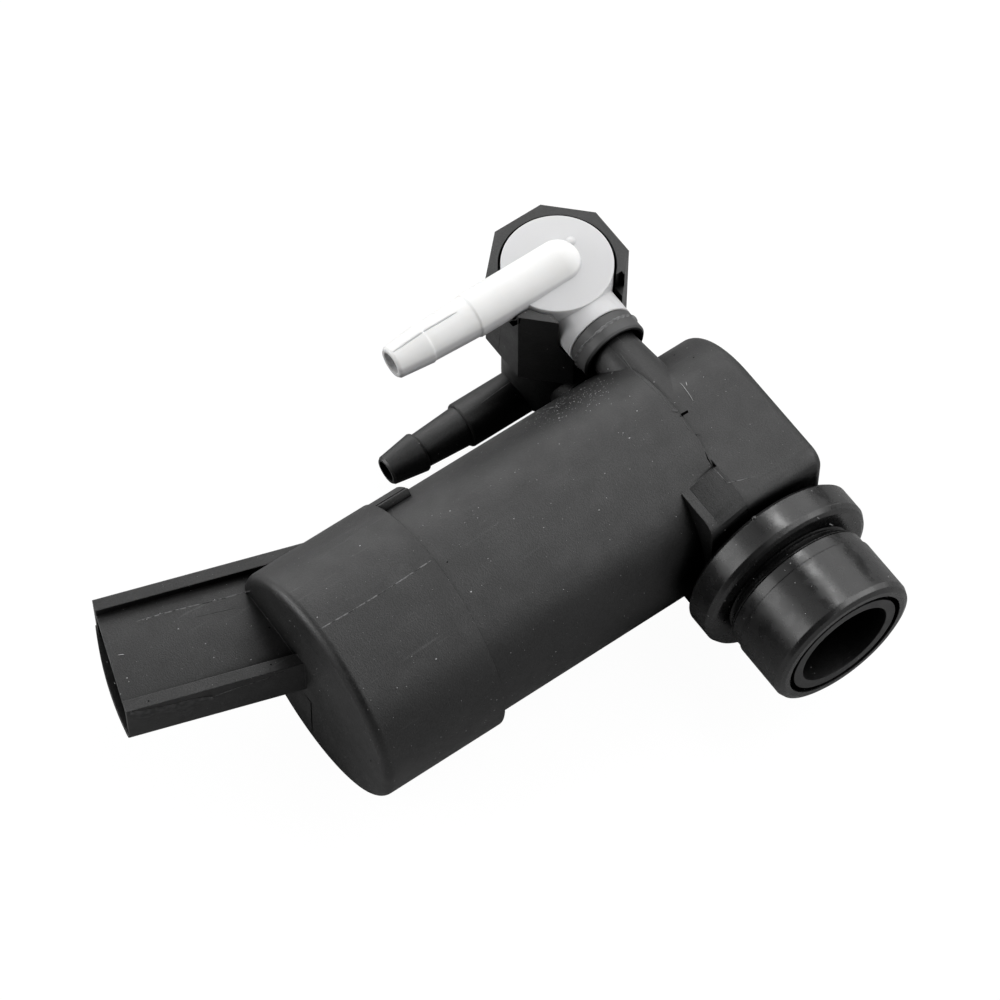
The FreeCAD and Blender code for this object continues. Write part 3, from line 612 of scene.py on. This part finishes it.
# %% [markdown]
# ## Flash, a sprue nub and a torn skin
#
# Under the connector the mould didn't quite shut, and a thin rag of plastic hangs on the lower
# rail. The injection point of the white half left a small nub on the disc beside the elbow, and
# the foot of the upper duct has a torn slot with a flake beside it. The rag and the flake are a
# paler nylon, a painted highlight; the slot and a notch in the cup are near-black sheets, a painted
# shadow of their insides. They are thin closed solids between two edges, thickest in the middle,
# because that is how such a skin freezes.

# %% Lay the flash
def part_way(line, share):
    """The place at a share of the length of a line with corners."""
    lengths = [math.dist(a, b) for a, b in zip(line, line[1:])]
    left = share * sum(lengths)
    for (a, b), length in zip(zip(line, line[1:]), lengths):
        if left <= length or b is line[-1]:
            k = min(1.0, left / length)
            return a[0] + (b[0] - a[0]) * k, a[1] + (b[1] - a[1]) * k
        left -= length


def between(name, upper, lower, skin, material, thickness, steps=6, across=4):
    """A thin solid over the skin between two lines of the picture."""
    rows = []
    for i in range(steps + 1):
        (x0, y0), (x1, y1) = part_way(upper, i / steps), part_way(lower, i / steps)
        row = []
        for j in range(across + 1):
            share = j / across
            point, outward = behind(x0 + (x1 - x0) * share, y0 + (y1 - y0) * share, skin)
            if point is None:
                break
            bulge = math.sin(math.pi * share) ** 0.5
            row.append((point, outward, thickness * (0.25 + 0.75 * bulge)))
        if len(row) == across + 1:
            rows.append(row)
    return closed_sheet(name, rows, material)


# The flash is in the paler nylon: a painted highlight.
flash = between("rail_flash",
                [(130, 712), (145, 710), (160, 707), (175, 703.5), (189, 700), (205, 697), (213, 696.5)],
                [(130, 714), (138, 718), (149, 716.6), (155, 713), (169, 711.4), (179, 711.4), (185, 716),
                 (193, 711), (196, 703), (205, 700), (213, 697.5)], on_cap, painted_highlight_nylon, 0.35, steps=40)
# The slot and the notch are near-black sheets: painted shadow of their insides.
between("duct_slot_shadow", [(679.5, 414.5), (687.5, 410)], [(680.5, 417), (688.5, 412.5)],
        on_housing, painted_shadow, 0.02)
between("cup_notch_shadow", [(509, 322), (521, 316.5)], [(513, 326.5), (519.5, 323.5)], on_cup, painted_shadow, 0.02)
# The flake is in the paler nylon: a painted highlight.
between("duct_flake", [(672, 409.5), (678, 410)], [(672.5, 412), (678, 412.5)],
        on_housing, painted_highlight_nylon, 0.12)


def nub(name, x, y, skin, material, radius, height):
    """A small round lump on the skin."""
    point, outward = behind(x, y, skin)
    shape = bmesh.new()
    bmesh.ops.create_icosphere(shape, subdivisions=3, radius=radius * MM)
    lie = outward.to_track_quat("Z", "Y").to_matrix().to_4x4()
    lie = Matrix.Translation(point) @ lie @ Matrix.Diagonal((1, 1, height / radius, 1))
    bmesh.ops.transform(shape, matrix=lie, verts=shape.verts)
    return ride_on_housing(bpy.data.meshes.new(name), shape, material)


nub("sprue_nub", 570.6, 241, on_white, white_nylon, 0.75, 0.6)
nub("flange_nub", 754, 518, everything, grommet_rubber, 0.45, 0.3)
print("flash and nubs laid; the flash has", len(flash.data.polygons), "faces")

# %% [markdown]
# ## The blend beside the pump head
#
# The wedge under the tank flange runs into the flat pump head with a smooth blend on the real
# housing. The solids have a low step there, which threw a hard shadow. So a thin wedge of the
# same plastic leans from the top of the step down to the wedge, and only the parting line stays,
# as in the picture; its paler nylon is a painted highlight.

# %% Smooth the step
def dropped(x, y):
    """The point of the housing right under a place of the plan, in mm."""
    return on_housing.ray_cast(Vector((x, y, 30)) * MM, Vector((0, 0, -1)))[0]


head_edge_y, wedge_end_y = -2.78, -8.0
first_x, step_x = -23.5, 0.4
tallest_step = 2.5
rows = []
for step in range(21):
    x = first_x + step_x * step
    high, low = dropped(x, -2.2), dropped(x + 0.3, wedge_end_y)
    if high is None or low is None or not 0 < (high.z - low.z) / MM < tallest_step:
        continue
    high.y = head_edge_y * MM
    row = []
    for part in (0, 0.15, 0.35, 0.6, 0.8, 1.0):
        lift = 0.03 * (1 - part) + 0.08 * math.sin(math.pi * part)
        row.append((high.lerp(low, part), Vector((0, -0.2 * part, 0.98)).normalized(), lift))
    rows.append(row)
blend = closed_sheet("head_blend", rows, housing_nylon, sink=0.7)
# The parting line is in the paler nylon: a painted highlight.
ridge("head_line_c", [(712.5, 467), (720, 475), (727, 483), (741, 480), (755, 476.5)],
      skin_of("motor_housing", blend), bright_painted_highlight_nylon, 0.14, 0.04)
print("blend of", len(blend.data.polygons), "faces")

# %% [markdown]
# ## The ridge round the collar
#
# The rubber collar on the upper outlet has a wavy line round it, a hand trimmed joint of its
# mould. It runs all the way round, so it is built round the collar's own axis. At each step a
# ray from outside towards the axis finds the rubber, and a bead is swept through those points.

# %% Wrap the ridge round the collar
rubber_skin = skin_of("upper_outlet_collar")
axis_y, axis_z = -1.4 * MM, 9.5 * MM
ring_steps = 144
traced = []
for x, y in [(576, 358), (580, 350), (586, 343), (592, 338), (600, 330), (608, 324), (616, 319), (624, 316),
             (631, 316)]:
    point, _ = behind(x, y, rubber_skin)
    if point is not None:
        traced.append((math.atan2(point.z - axis_z, point.y - axis_y), point.x))
traced.sort()
traced.append((traced[0][0] + 2 * math.pi, traced[0][1]))
rows = []
for k in range(ring_steps + 1):
    angle = traced[0][0] + 2 * math.pi * k / ring_steps
    after = next((i for i, (known, _) in enumerate(traced) if known >= angle - 1e-9 and i), len(traced) - 1)
    (start_angle, start_x), (end_angle, end_x) = traced[after - 1], traced[after]
    share = (angle - start_angle) / max(1e-9, end_angle - start_angle)
    if end_angle - start_angle > 1:
        sway = 0.3 * math.sin(math.pi * share) * math.sin(7 * angle)
    else:
        sway = 0.06 * math.sin(31 * angle)
    spot = Vector((start_x + (end_x - start_x) * share + sway * MM, axis_y, axis_z))
    spoke = Vector((0, math.cos(angle), math.sin(angle)))
    point, outward, _, _ = rubber_skin.ray_cast(spot + spoke * 12 * MM, -spoke)
    if point is not None and outward.dot(spoke) > 0.3:
        edge = Vector((0.24 * MM, 0, 0))
        rows.append([(point - edge, spoke, 0), (point, spoke, 0.26), (point + edge, spoke, 0)])
# The ridge's paler rubber is a painted highlight for the light it catches.
closed_sheet("collar_ridge", rows, plain("painted_highlight_rubber", 0.08, 0.2, 0.5))
print("collar ridge steps:", len(rows), "of", ring_steps + 1)

# %% [markdown]
# ## Dust and fibres
#
# A part out of a bag carries dust. Most specks are too small for a shape, but the larger ones
# and a few lint fibres show clearly on black. The specks that the picture shows are put where
# they lie, and a seeded sprinkle adds the finer ones on every side. All dust specks share one mesh,
# since hundreds of separate objects would only slow the file down. A few near-black specks at
# small pits, in a mesh of their own, are painted shade.

# %% Sprinkle the dust
def dust(name, spots, material):
    """One mesh of flattened grains, from (point, outward, radius in mm)."""
    shape = bmesh.new()
    for point, outward, radius in spots:
        lie = Matrix.Translation(point) @ outward.to_track_quat("Z", "Y").to_matrix().to_4x4()
        lie = lie @ Matrix.Diagonal((1, 0.75, 0.4, 1))
        bmesh.ops.create_icosphere(shape, subdivisions=1, radius=radius * MM, matrix=lie)
    return ride_on_housing(bpy.data.meshes.new(name), shape, material)


pale_dust, pit_shadow = plain("pale_dust", 0.3, 0.5), plain("pit_shadow", 0.002, 0.004, 0.0)
random.seed(11)
seen_grains = [
    (612, 373), (577.4, 367.4), (629.4, 438), (623, 433), (637, 411), (687, 348), (703.6, 377), (654, 382),
    (559, 418), (608, 369), (205.6, 643.6), (251, 659.6), (160, 613.4), (178.4, 629), (360, 545.7),
    (317.3, 617.3), (320, 690.7), (471, 591.7), (599, 510), (450, 511), (290, 620.7), (294.3, 626),
    (790.3, 563.3), (795, 582.7), (753.7, 578.7), (744, 618.7), (725, 530), (708.3, 616), (763.3, 657.3),
    (888.3, 576.7), (811.7, 490.7), (729.3, 606.7), (725, 600.7), (858.3, 658.3), (115, 683.4),
    (120.6, 694), (127, 678), (436, 659),
]
spots = []
for x, y in seen_grains:
    point, outward = behind(x, y, everything)
    if point is not None:
        spots.append((point, outward, random.uniform(0.09, 0.15)))
for _ in range(260):
    share = random.random()
    x, y = 605 - 78 * share + random.gauss(0, 7), 384 + 38 * share + random.gauss(0, 7)
    point, outward = behind(x, y, on_housing)
    if point is not None:
        spots.append((point, outward, random.uniform(0.04, 0.09)))
black_skin = skin_of("motor_housing", "end_cap", "tank_grommet", "valve_cup")
middle_of_box = Vector([(low + high) / 2 for low, high in zip(*cad_box)])
far_out = 0.2
for _ in range(3200):
    towards = Vector([random.gauss(0, 1) for _ in range(3)]).normalized()
    start = middle_of_box + towards * far_out
    target = Vector([random.uniform(a, b) for a, b in zip(cad_box[0], cad_box[1])])
    point, outward, _, _ = black_skin.ray_cast(start, (target - start).normalized())
    if point is not None and outward.dot(target - start) < 0:
        spots.append((point, outward, 0.03 + 0.06 * random.random() ** 4))
grains = dust("dust", spots, pale_dust)
# Small pits are near-black specks without gloss: painted shade of the pits.
pits = []
pit_radius = 0.16
for x, y in [(148.6, 701), (271, 664.6), (269.4, 627.6), (371, 761), (693.6, 357.6), (674.4, 355),
             (447.3, 562)]:
    point, outward = behind(x, y, everything)
    if point is not None:
        pits.append((point, outward, pit_radius))
dust("pit_shadow_specks", pits, pit_shadow)
print("grains:", len(spots), "triangles:", len(grains.data.polygons))

# %% Lay the fibres
def fibre(name, corners, skin, material, radius=0.05):
    """A lint fibre along a line of the picture, lying on the skin."""
    found = [behind(x, y, skin) for x, y in along(corners, 1.5)]
    found = [(point + outward * radius * MM, outward) for point, outward in found if point is not None]
    rings, faces = [], []
    for k, (point, outward) in enumerate(found):
        ahead = (found[min(k + 1, len(found) - 1)][0] - found[max(k - 1, 0)][0]).normalized()
        side = outward.cross(ahead).normalized()
        thick = radius * MM * (0.4 if k in (0, len(found) - 1) else 1.0)
        for sixth in range(6):
            angle = sixth * math.pi / 3
            rings.append(point + (side * math.cos(angle) + outward * math.sin(angle)) * thick)
        if k:
            base = (k - 1) * 6
            faces += [(base + i, base + (i + 1) % 6, base + 6 + (i + 1) % 6, base + 6 + i) for i in range(6)]
    faces += [tuple(range(6)), tuple(range(len(rings) - 6, len(rings)))]
    return settle(name, rings, faces, material)


lint = plain("lint", 0.3, 0.5)
fibre("hair_a", [(680, 383), (683, 386), (686, 390), (690, 395.5), (693, 401)], on_housing, lint, 0.045)
fibre("hair_b", [(686, 382), (687, 386)], on_housing, lint, 0.05)
fibre("hair_c", [(118, 655.4), (121, 654.8), (124, 654.6)], everything, lint, 0.07)
fibre("hair_d", [(829, 523.6), (832.5, 525)], everything, lint, 0.07)
fibre("hair_e", [(816.6, 517), (819.4, 519)], everything, lint, 0.06)
print("fibres: 5")

# %% [markdown]
# ## Size
#
# All traces are thinner than a hair or two, so the dressed pump must be as big as its solids.
# The box of the solids is printed.

# %% Print the box of the solids
print("CAD box", [round(c * 1000, 1) for corner in cad_box for c in corner])
